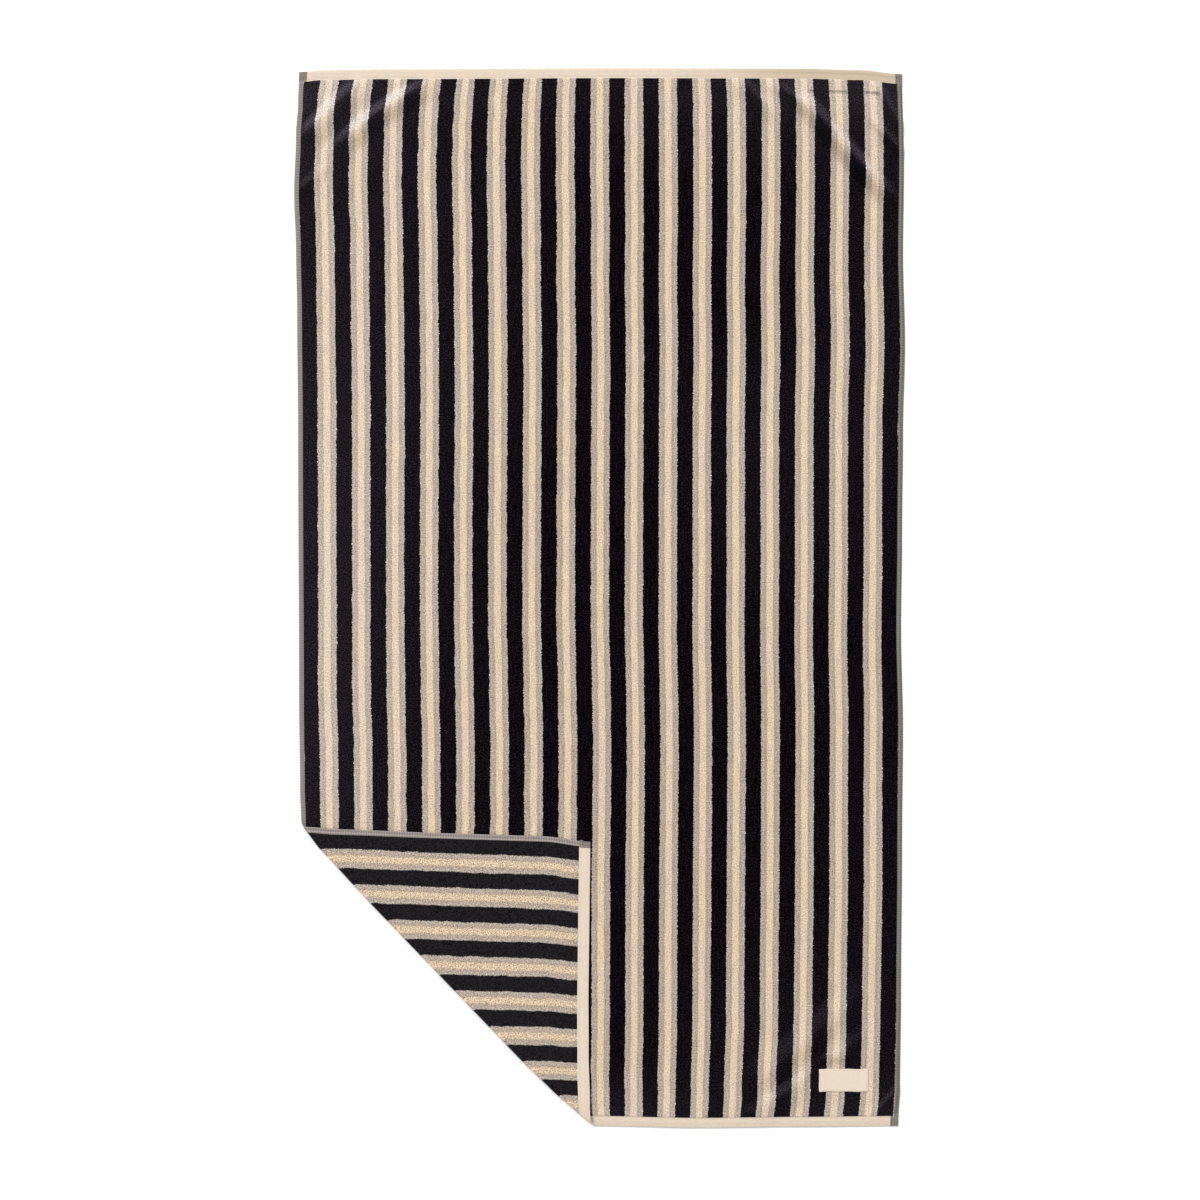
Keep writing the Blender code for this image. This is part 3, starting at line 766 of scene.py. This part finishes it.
def pile_material(stripes, yarn):
    """The sheared front: short cut tufts, so colours meet cleanly. On the near flanks of its ridges, which
    face the top of the towel, it has painted highlights, and on the far flanks painted shade, deeper in
    colour."""
    material, graph, shader, place = new_material("sheared_pile", 0.95, sheen=0.004, specular=0.02)
    tuft, away, _ = tufts(graph, place, CUT_TUFT)
    striped = graph.group(stripes, Place=tuft, Softness=0.0003, Wander=0.0042)
    uneven = graph.group(yarn, Place=place)
    swing = graph.plus(graph.around(uneven["Fleck"], 1.45), graph.around(uneven["Streak"], 0.45))
    value = graph.plus(1.0, graph.times(swing, striped["Grain"]), graph.around(uneven["Nap"], 0.16))
    warm = graph.blend(graph.ease(uneven["Nap"], 0.35, 0.65), striped["Colour"], WARM_TINT, "MULTIPLY")
    # the cloth's slope and brush, from which the painted highlights, painted glint and painted shade below
    # are worked out
    lie = graph.split(graph.add("ShaderNodeAttribute", attribute_name=SLOPE_AND_BRUSH_NAME).outputs["Vector"])
    facing = graph.plus(graph.times(lie["X"], PAINTED_LIGHT_FACING[0]), graph.times(lie["Y"], PAINTED_LIGHT_FACING[1]))
    lifted = graph.plus(graph.times(lie["X"], PAINTED_LIGHT_FROM_TOP[0]), graph.times(lie["Y"], PAINTED_LIGHT_FROM_TOP[1]))
    lit, black = graph.math("MAXIMUM", lifted, 0.0), striped["Blackness"]
    light = graph.math("SUBTRACT", 1.0, black)
    # painted highlight: on steep lit flanks and brushed patches the light yarns mix towards a pale colour
    steep = graph.math("MAXIMUM", graph.plus(lifted, -PAINTED_TIPS_FROM), 0.0)
    shown = graph.plus(graph.times(steep, PAINTED_TIPS_SHOW), graph.times(lie["Z"], PAINTED_TIPS_BRUSHED))
    painted_tips = graph.blend(graph.times(light, graph.math("MAXIMUM", shown, 0.0)), warm, PAINTED_TIPS)
    # painted shade on far flanks and painted highlight on lit ones, as a factor on the yarns' brightness,
    # with paler brushed patches
    aside = graph.plus(
        graph.times(lie["X"], PAINTED_HIGHLIGHT_ASIDE[0]), graph.times(graph.math("ABSOLUTE", lie["X"]), PAINTED_HIGHLIGHT_ASIDE[1])
    )
    away_gain = graph.times(graph.math("MINIMUM", facing, 0.0), PAINTED_LIGHT_GAIN)
    on_light = graph.plus(away_gain, graph.times(aside, lit), graph.times(lie["Z"], BRUSH_AND_SHEEN_GAIN))
    brush_and_sheen_on_black = graph.times(lie["Z"], BRUSH_AND_SHEEN_GAIN_ON_BLACK)
    on_black = graph.plus(graph.times(facing, PAINTED_LIGHT_GAIN_ON_BLACK), brush_and_sheen_on_black)
    painted_light_and_brush = graph.plus(1.0, graph.times(on_light, light), graph.times(on_black, black))
    at = graph.split(place)
    # painted shade along the creases: the pile darkened in narrow lines
    for crease_line in PAINTED_CREASE_SHADES:
        begun = graph.ease(at["X"], crease_line.start, crease_line.start + CREASE_SHADE_FADE)
        across = graph.times(begun, graph.ease(at["X"], crease_line.end - CREASE_SHADE_FADE, crease_line.end, 1, 0))
        crease_shading = graph.times(graph.line(at["Y"], crease_line.along, CREASE_SHADE_WIDTH / 2), across, -crease_line.strength)
        painted_light_and_brush = graph.plus(painted_light_and_brush, crease_shading)
    shade = graph.times(value, graph.math("MAXIMUM", painted_light_and_brush, 0.1))
    # painted glint on lit flanks and brushed patches, and deeper colour in painted shade
    painted_glow = graph.times(graph.math("MAXIMUM", graph.plus(lit, lie["Z"]), 0.0), PAINTED_GLINT_STRENGTH)
    painted_glow = graph.times(painted_glow, graph.plus(1.0, graph.around(uneven["Fleck"], 4.5)))
    deeper = graph.plus(1.0, graph.times(graph.math("MINIMUM", lifted, 0.0), PAINTED_SHADE_DEEPER))
    colour = graph.blend(painted_glow, graph.brighten(painted_tips, shade, deeper), PAINTED_GLINT)
    height = graph.plus(uneven["Fleck"], graph.times(uneven["Streak"], 0.5), graph.times(away, -0.5))
    finish_surface(graph, shader, colour, height, 0.0006)
    return material


def loops_material(stripes, yarn):
    """The reverse: uncut loops, each of one colour, with small shaded gaps between them."""
    material, graph, shader, place = new_material("looped_pile", 0.95, sheen=0.03, specular=0.04)
    loop, away, chance = tufts(graph, place, LOOP_TUFT)
    striped = graph.group(stripes, Place=loop, Softness=0.0006, Wander=0.0052)
    uneven = graph.group(yarn, Place=place)
    gap = graph.ease(away, 0.30, 0.85, 1.0, 0.45)
    contrast = graph.plus(0.50, graph.times(striped["Blackness"], 1.6))
    paler = graph.ease(striped["Grain"], ECRU_GRAIN, GREY_GRAIN, 1.26, 1.39)
    odd = graph.plus(paler, graph.times(striped["Blackness"], -0.10), graph.around(uneven["Fleck"], 2.8))
    odd = graph.plus(odd, graph.times(graph.around(chance, 1.0), contrast))
    painted_glow = graph.times(chance, 0.020)
    colour = graph.blend(painted_glow, graph.brighten(striped["Colour"], graph.times(gap, odd), 1.12), LOOP_GLOW)
    height = graph.math("SUBTRACT", graph.times(uneven["Fleck"], 0.4), away)
    finish_surface(graph, shader, colour, height, 0.0010)
    return material


def hem_material(weave):
    """Plain woven ecru, ribbed along the hem, with the grey selvedge turned in at its ends. Towards
    its right end the upper hem is darker, and a twill shows. The lower hem is a little darker in its
    right half, and lighter in the part that is turned over."""
    material, graph, shader, place = new_material("hem_weave")
    woven = graph.group(weave, Place=place, Threads_Across=800.0, Threads_Along=1000.0)
    at = graph.split(place)
    from_side = graph.math("PINGPONG", at["X"], CLOTH_WIDTH / 2)
    from_end = graph.math("PINGPONG", at["Y"], CLOTH_LENGTH / 2)
    cords = 1.16
    for cord in HEM_END_CORDS:
        dark = graph.times(graph.line(from_side, cord.middle, cord.half), -cord.depth)
        cords = graph.plus(cords, dark)
    grey = graph.brighten(HEM_END_GREY, cords)
    narrower = graph.ease(at["X"], 0.45, 0.55, 0.0008, -0.0010)
    ragged = graph.plus(from_side, graph.around(woven["Shade"], 0.0016), narrower)
    inside = graph.ease(ragged, HEM_END_FROM, HEM_END_TO)
    lower = graph.ease(at["Y"], 0.1, 0.2, 1.0, 0.0)
    dulled = graph.times(graph.ease(at["X"], 0.58, 0.86), graph.ease(at["Y"], 1.0, 1.2))
    dulled = graph.plus(dulled, graph.times(graph.ease(at["X"], 0.40, 0.50, 0.0, 0.15), lower))
    yarn = graph.blend(dulled, HEM_YARN, HEM_OCHRE)
    rib = graph.math("SINE", graph.times(at["Y"], 2 * pi / HEM_RIB))
    diagonal = graph.plus(at["X"], graph.times(at["Y"], 1.4))
    twill = graph.math("SINE", graph.times(diagonal, 2 * pi / HEM_TWILL))
    doubled = graph.line(from_end, *HEM_DOUBLED)
    value = graph.plus(
        1.0,
        graph.around(woven["Shade"], 0.80),
        graph.times(graph.ease(at["X"], 0.40, 0.50, 0.035, 0.0), lower),
        graph.times(rib, 0.018),
        graph.times(twill, dulled, 0.07),
        graph.times(doubled, graph.plus(0.03, graph.times(dulled, 0.09)), -1.0),
        graph.times(graph.line(from_end, *HEM_FULL), dulled, 0.07),
    )
    height = graph.plus(woven["Height"], graph.times(rib, 0.30))
    finish_surface(graph, shader, graph.brighten(graph.blend(inside, grey, yarn), value), height, 0.0004)
    return material


def selvedge_material(name, weave, lines):
    """Grey woven edge: crossed by short dark dashes, with lighter or darker lengthwise cords."""
    material, graph, shader, place = new_material(name)
    woven = graph.group(weave, Place=place)
    at = graph.split(place)
    from_side = graph.math("PINGPONG", at["X"], CLOTH_WIDTH / 2)
    from_end = graph.math("PINGPONG", at["Y"], CLOTH_LENGTH / 2)
    side = graph.ease(at["X"], 0.45, 0.55)
    # the right selvedge's darker grey is painted shade, for an edge that faces away from the light
    grey = graph.blend(side, SELVEDGE_LEFT, SELVEDGE_RIGHT)
    rung = graph.ease(graph.math("PINGPONG", at["Y"], SELVEDGE_RUNG), 0.0002, 0.0016, 0.78, 1.10)
    cords = 1.0
    for line in lines:
        strength = graph.plus(line.left, graph.times(side, line.right - line.left))
        cords = graph.plus(cords, graph.times(graph.line(from_side, line.middle, line.half), strength))
    tucked = graph.line(from_end, *SELVEDGE_TUCK)
    uneven = graph.plus(1.0, graph.around(woven["Shade"], 1.1))
    value = graph.plus(graph.times(cords, rung, uneven), graph.times(tucked, 0.40))
    height = graph.plus(woven["Height"], graph.times(cords, rung, 0.8))
    finish_surface(graph, shader, graph.brighten(grey, value), height, 0.0005)
    return material


def label_material(weave):
    """Close ecru tape with a little fleck in its yarn."""
    material, graph, shader, place = new_material("label_weave", 0.85)
    woven = graph.group(weave, Place=place, Threads_Across=1500.0, Threads_Along=1700.0)
    fleck = graph.noise(graph.stretch(place, (620, 700, 1)), 2.0, 0.6)
    value = graph.plus(1.0, graph.around(woven["Shade"], 0.16), graph.around(fleck, 0.14))
    finish_surface(graph, shader, graph.brighten(LABEL_YARN, value), woven["Height"], 0.0002)
    return material


def thread_material():
    """Sewing thread: two plies twisted together."""
    material, graph, shader, place = new_material("sewing_thread", 0.7, specular=0.2)
    at = graph.split(place)
    twist = graph.math("SINE", graph.times(graph.plus(at["X"], graph.times(at["Y"], 0.8)), 2 * pi / 0.0008))
    colour = graph.brighten(THREAD_ECRU, graph.plus(0.97, graph.times(twist, 0.05)))
    finish_surface(graph, shader, colour, twist, 0.0001)
    return material


# ---- The pieces ----


def place_mesh(piece, places, cut):
    """Lays a piece's points and keeps each one's place on the cut cloth as its pattern's map."""
    data = piece.data
    for vert, place in zip(data.vertices, places):
        vert.co = place
    layer = data.uv_layers.get(MAP_NAME) or data.uv_layers.new(name=MAP_NAME)
    for loop in data.loops:
        layer.data[loop.index].uv = cut[loop.vertex_index]


def new_stitch(length):
    """One lockstitch as a plump bead, along X, that is lower at its two ends."""
    bpy.ops.mesh.primitive_uv_sphere_add(segments=6, ring_count=5, radius=0.5, rotation=(0, pi / 2, 0))
    bead = bpy.context.object
    bpy.ops.object.transform_apply(location=False, rotation=True, scale=False)
    bpy.ops.object.mode_set(mode="EDIT")
    bpy.ops.mesh.select_all(action="SELECT")
    bpy.ops.transform.resize(value=(length, THREAD_WIDTH, THREAD_HEIGHT))
    bpy.ops.object.mode_set(mode="OBJECT")
    return bead


def stitch_row(name, start, end, pitch):
    """Stitches along X from start to end, copied from one bead."""
    row = new_stitch(pitch * STITCH_SHARE)
    row.name = name
    array = row.modifiers.new("row", "ARRAY")
    array.use_relative_offset = False
    array.use_constant_offset = True
    array.count = max(int((end - start) / pitch), 1)
    array.constant_offset_displace = (pitch, 0, 0)
    bpy.ops.object.modifier_apply(modifier="row")
    for vert in row.data.vertices:
        vert.co.x += start + pitch / 2
    bpy.ops.object.shade_smooth()
    bpy.ops.object.select_all(action="DESELECT")
    return row


def hem_stitches(name, start, end, at_top, behind):
    """The row that holds a hem, sunk in its groove, on the pile side or on the reverse."""
    row = stitch_row(name, start, end, STITCH_PITCH)
    points = np.array([vert.co[:] for vert in row.data.vertices])
    u = points[:, 0]
    v = CLOTH_LENGTH - HEM_SEAM + points[:, 1] if at_top else HEM_SEAM + points[:, 1]
    bottom, top, hollow = cloth_section(u, v, behind)
    depth = bottom - points[:, 2] if behind else top + points[:, 2]
    place_mesh(row, lay_cloth(u, v, depth, hollow), np.stack([u, v], axis=1))
    return row


def make_label():
    """The tag's tape, folded under at both ends and laid over the pile."""
    low = LABEL_REST + LABEL_THICKNESS / 2
    half, inner = LABEL_WIDTH / 2 - LABEL_BEND, LABEL_WIDTH / 2 - LABEL_TURNED_END
    under = [(x, low) for x in np.linspace(inner, half, 6)]
    turns = [pi * i / 6 for i in range(1, 6)]
    round_it = [(half + LABEL_BEND * sin(a), low + LABEL_BEND - LABEL_BEND * cos(a)) for a in turns]
    over = [(x, low + 2 * LABEL_BEND) for x in np.linspace(half, inner + 0.0002, 6)]
    shares = [i / 6 for i in range(7)]
    slope = [(inner - LABEL_STEP * t, low + 2 * LABEL_BEND * (1 - smooth_step(t))) for t in shares]
    middle = [(x, low) for x in np.linspace(inner - LABEL_STEP, 0, 20)[1:]]
    right = under + round_it + over + slope + middle
    path = right + [(-x, z) for x, z in reversed(right[:-1])]
    along = [0.0]
    for (x, z), (next_x, next_z) in zip(path, path[1:]):
        along.append(along[-1] + ((next_x - x) ** 2 + (next_z - z) ** 2) ** 0.5)
    rows = np.linspace(-LABEL_HEIGHT / 2, LABEL_HEIGHT / 2, 25)
    mesh = bmesh.new()
    cut = mesh.loops.layers.uv.new(MAP_NAME)
    grid = []
    for y in rows:
        edge = abs(y) / (LABEL_HEIGHT / 2)
        line = []
        for (x, z), at in zip(path, along):
            from_seam = abs(abs(y) - (LABEL_HEIGHT / 2 - LABEL_SEAM))
            seam = LABEL_PUCKER * (1 - smooth_step(from_seam / LABEL_PUCKER_WIDTH))
            waist = LABEL_WAIST * sin(pi * x / LABEL_WIDTH * 5.3) * edge
            sway = LABEL_SWAY * sin(190 * y)
            line.append(mesh.verts.new((LABEL_X + x + sway, LABEL_Y + y + waist, z - seam)))
        grid.append(line)
    for j, (below, above) in enumerate(zip(grid, grid[1:])):
        for i in range(len(path) - 1):
            face = mesh.faces.new((below[i], above[i], above[i + 1], below[i + 1]))
            face.smooth = True
            corners = ((i, j), (i, j + 1), (i + 1, j + 1), (i + 1, j))
            for loop, (a, b) in zip(face.loops, corners):
                loop[cut].uv = (along[a], rows[b] + LABEL_HEIGHT / 2)
    bmesh.ops.recalc_face_normals(mesh, faces=mesh.faces[:])
    data = bpy.data.meshes.new("woven_label")
    mesh.to_mesh(data)
    mesh.free()
    tag = bpy.data.objects.new("woven_label", data)
    bpy.context.scene.collection.objects.link(tag)
    solidify = tag.modifiers.new("tape", "SOLIDIFY")
    solidify.thickness = LABEL_THICKNESS
    solidify.offset = 0
    bpy.context.view_layer.objects.active = tag
    bpy.ops.object.modifier_apply(modifier="tape")
    return tag, along[-1]


def label_stitches():
    """Stitches all round the label, a little inside its edges."""
    low = LABEL_REST + LABEL_THICKNESS
    high = low + LABEL_ENDS_RISE
    rows = []
    for side in (-1, 1):
        long_end = LABEL_WIDTH - LONG_ROW_INSET
        long_row = stitch_row("label_stitches", LONG_ROW_INSET, long_end, LABEL_STITCH_PITCH)
        for vert in long_row.data.vertices:
            x = vert.co.x - LABEL_WIDTH / 2
            step_from = LABEL_WIDTH / 2 - LABEL_TURNED_END - LABEL_STEP
            on_end = smooth_step((abs(x) - step_from) / LABEL_STEP)
            z = vert.co.z + low + (high - low) * on_end - LABEL_PUCKER
            vert.co = (LABEL_X + x, LABEL_Y + side * (LABEL_HEIGHT / 2 - LABEL_SEAM) + vert.co.y, z)
        rows.append(long_row)
        short_end = LABEL_HEIGHT - SHORT_ROW_INSET
        short_row = stitch_row("label_stitches", SHORT_ROW_INSET, short_end, LABEL_STITCH_PITCH)
        for vert in short_row.data.vertices:
            x, y, z = vert.co
            across = LABEL_X + side * (LABEL_WIDTH / 2 - LABEL_SEAM) - y
            vert.co = (across, LABEL_Y + x - LABEL_HEIGHT / 2, z + high)
        rows.append(short_row)
    for row in rows:
        row.select_set(True)
    bpy.context.view_layer.objects.active = rows[0]
    bpy.ops.object.join()
    joined = bpy.context.object
    joined.name = "label_stitches"
    points = [tuple(vert.co) for vert in joined.data.vertices]
    place_mesh(joined, points, [point[:2] for point in points])
    bpy.ops.object.select_all(action="DESELECT")
    return joined


def thread_tail():
    """The loose end of a hem's thread: a few plies that stand out at the turned corner."""
    tails = []
    for lean_u, lean_v, rise in THREAD_PLIES:
        bpy.ops.curve.primitive_bezier_curve_add()
        tail = bpy.context.object
        u = np.array([PLY_ROOT, PLY_ROOT + 0.55 * lean_u, PLY_ROOT + lean_u])
        v = np.array([HEM_SEAM, HEM_SEAM + 0.35 * lean_v, HEM_SEAM + lean_v])
        lift = np.array([0.0, rise, 0.35 * rise])
        places = lay_cloth(u, v, -lift, np.full(3, PILE_THICKNESS - HEM_THICKNESS))
        spline = tail.data.splines[0]
        spline.bezier_points.add(1)
        for point, place in zip(spline.bezier_points, places):
            point.co = place
            point.handle_left_type = point.handle_right_type = "AUTO"
        tail.data.bevel_depth = PLY_RADIUS
        tail.data.bevel_resolution = 1
        tail.data.resolution_u = 5
        tail.data.use_fill_caps = True
        bpy.ops.object.convert(target="MESH")
        tails.append(bpy.context.object)
    bpy.ops.object.select_all(action="DESELECT")
    for tail in tails:
        tail.select_set(True)
    bpy.context.view_layer.objects.active = tails[0]
    bpy.ops.object.join()
    tuft = bpy.context.object
    tuft.name = "thread_tail"
    bpy.ops.object.transform_apply(location=True, rotation=True, scale=True)
    points = [tuple(vert.co) for vert in tuft.data.vertices]
    place_mesh(tuft, points, [point[:2] for point in points])
    bpy.ops.object.shade_smooth()
    bpy.ops.object.select_all(action="DESELECT")
    return tuft


camera = bpy.data.objects.new("camera", bpy.data.cameras.new("camera"))
bpy.context.scene.collection.objects.link(camera)
camera.location = (*VIEW_MIDDLE, CAMERA_HEIGHT)
camera.data.sensor_width = SENSOR_WIDTH * 1000
camera.data.lens = SENSOR_WIDTH * 1000 * (CAMERA_HEIGHT - PILE_THICKNESS) / VIEW_WIDTH
bpy.context.scene.camera = camera

stripes, yarn, weave = stripe_group(), yarn_group(), weave_group()
label_weave, thread = label_material(weave), thread_material()

cloth = make_cloth()
for material in (
    pile_material(stripes, yarn),
    loops_material(stripes, yarn),
    hem_material(weave),
    selvedge_material("selvedge_weave", weave, SELVEDGE_CORDS),
    selvedge_material("selvedge_reverse", weave, SELVEDGE_CORDS_BEHIND),
):
    cloth.data.materials.append(material)
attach(cloth, "root")
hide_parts("towel")

seam_pieces = [
    hem_stitches("upper_hem_stitches", ROW_INSET, CLOTH_WIDTH - ROW_INSET, True, False),
    hem_stitches("lower_hem_stitches", ROW_INSET, CLOTH_WIDTH - ROW_INSET, False, False),
    hem_stitches("turned_hem_stitches", ROW_INSET, TURNED_ROW_END, False, True),
    thread_tail(),
]
for piece in seam_pieces:
    piece.data.materials.clear()
    piece.data.materials.append(thread)
    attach(piece, "root")

tag, tape_length = make_label()
tag.data.materials.append(label_weave)
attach(tag, "root")
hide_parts("label")
tag_stitches = label_stitches()
tag_stitches.data.materials.append(thread)
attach(tag_stitches, "root")

# ---- Studio ----

bpy.ops.mesh.primitive_plane_add(size=FLOOR_SIZE, location=(0, 0, -FLOOR_DROP))
floor = bpy.context.object
floor.name = "studio_floor"
paint = bpy.data.materials.new("floor_paint")
paint.use_nodes = True
coat = paint.node_tree.nodes["Principled BSDF"].inputs
coat["Base Color"].default_value = FLOOR_WHITE
coat["Roughness"].default_value = 0.9
coat["Specular IOR Level"].default_value = 0.1
floor.data.materials.append(paint)

world = bpy.data.worlds.new("studio")
world.use_nodes = True
world.node_tree.nodes["Background"].inputs["Color"].default_value = (1, 1, 1, 1)
world.node_tree.nodes["Background"].inputs["Strength"].default_value = SKY_STRENGTH
bpy.context.scene.world = world


def soft_light(name, place, size, power):
    """A square lamp that faces the towel."""
    lamp = bpy.data.lights.new(name, "AREA")
    lamp.shape = "SQUARE"
    lamp.size = size
    lamp.energy = power
    item = bpy.data.objects.new(name, lamp)
    item.location = place
    item.rotation_euler = (-Vector(place)).to_track_quat("-Z", "Y").to_euler()
    bpy.context.scene.collection.objects.link(item)


soft_light("window", WINDOW_PLACE, WINDOW_SIZE, WINDOW_POWER)

bpy.context.scene.view_settings.view_transform = "Standard"
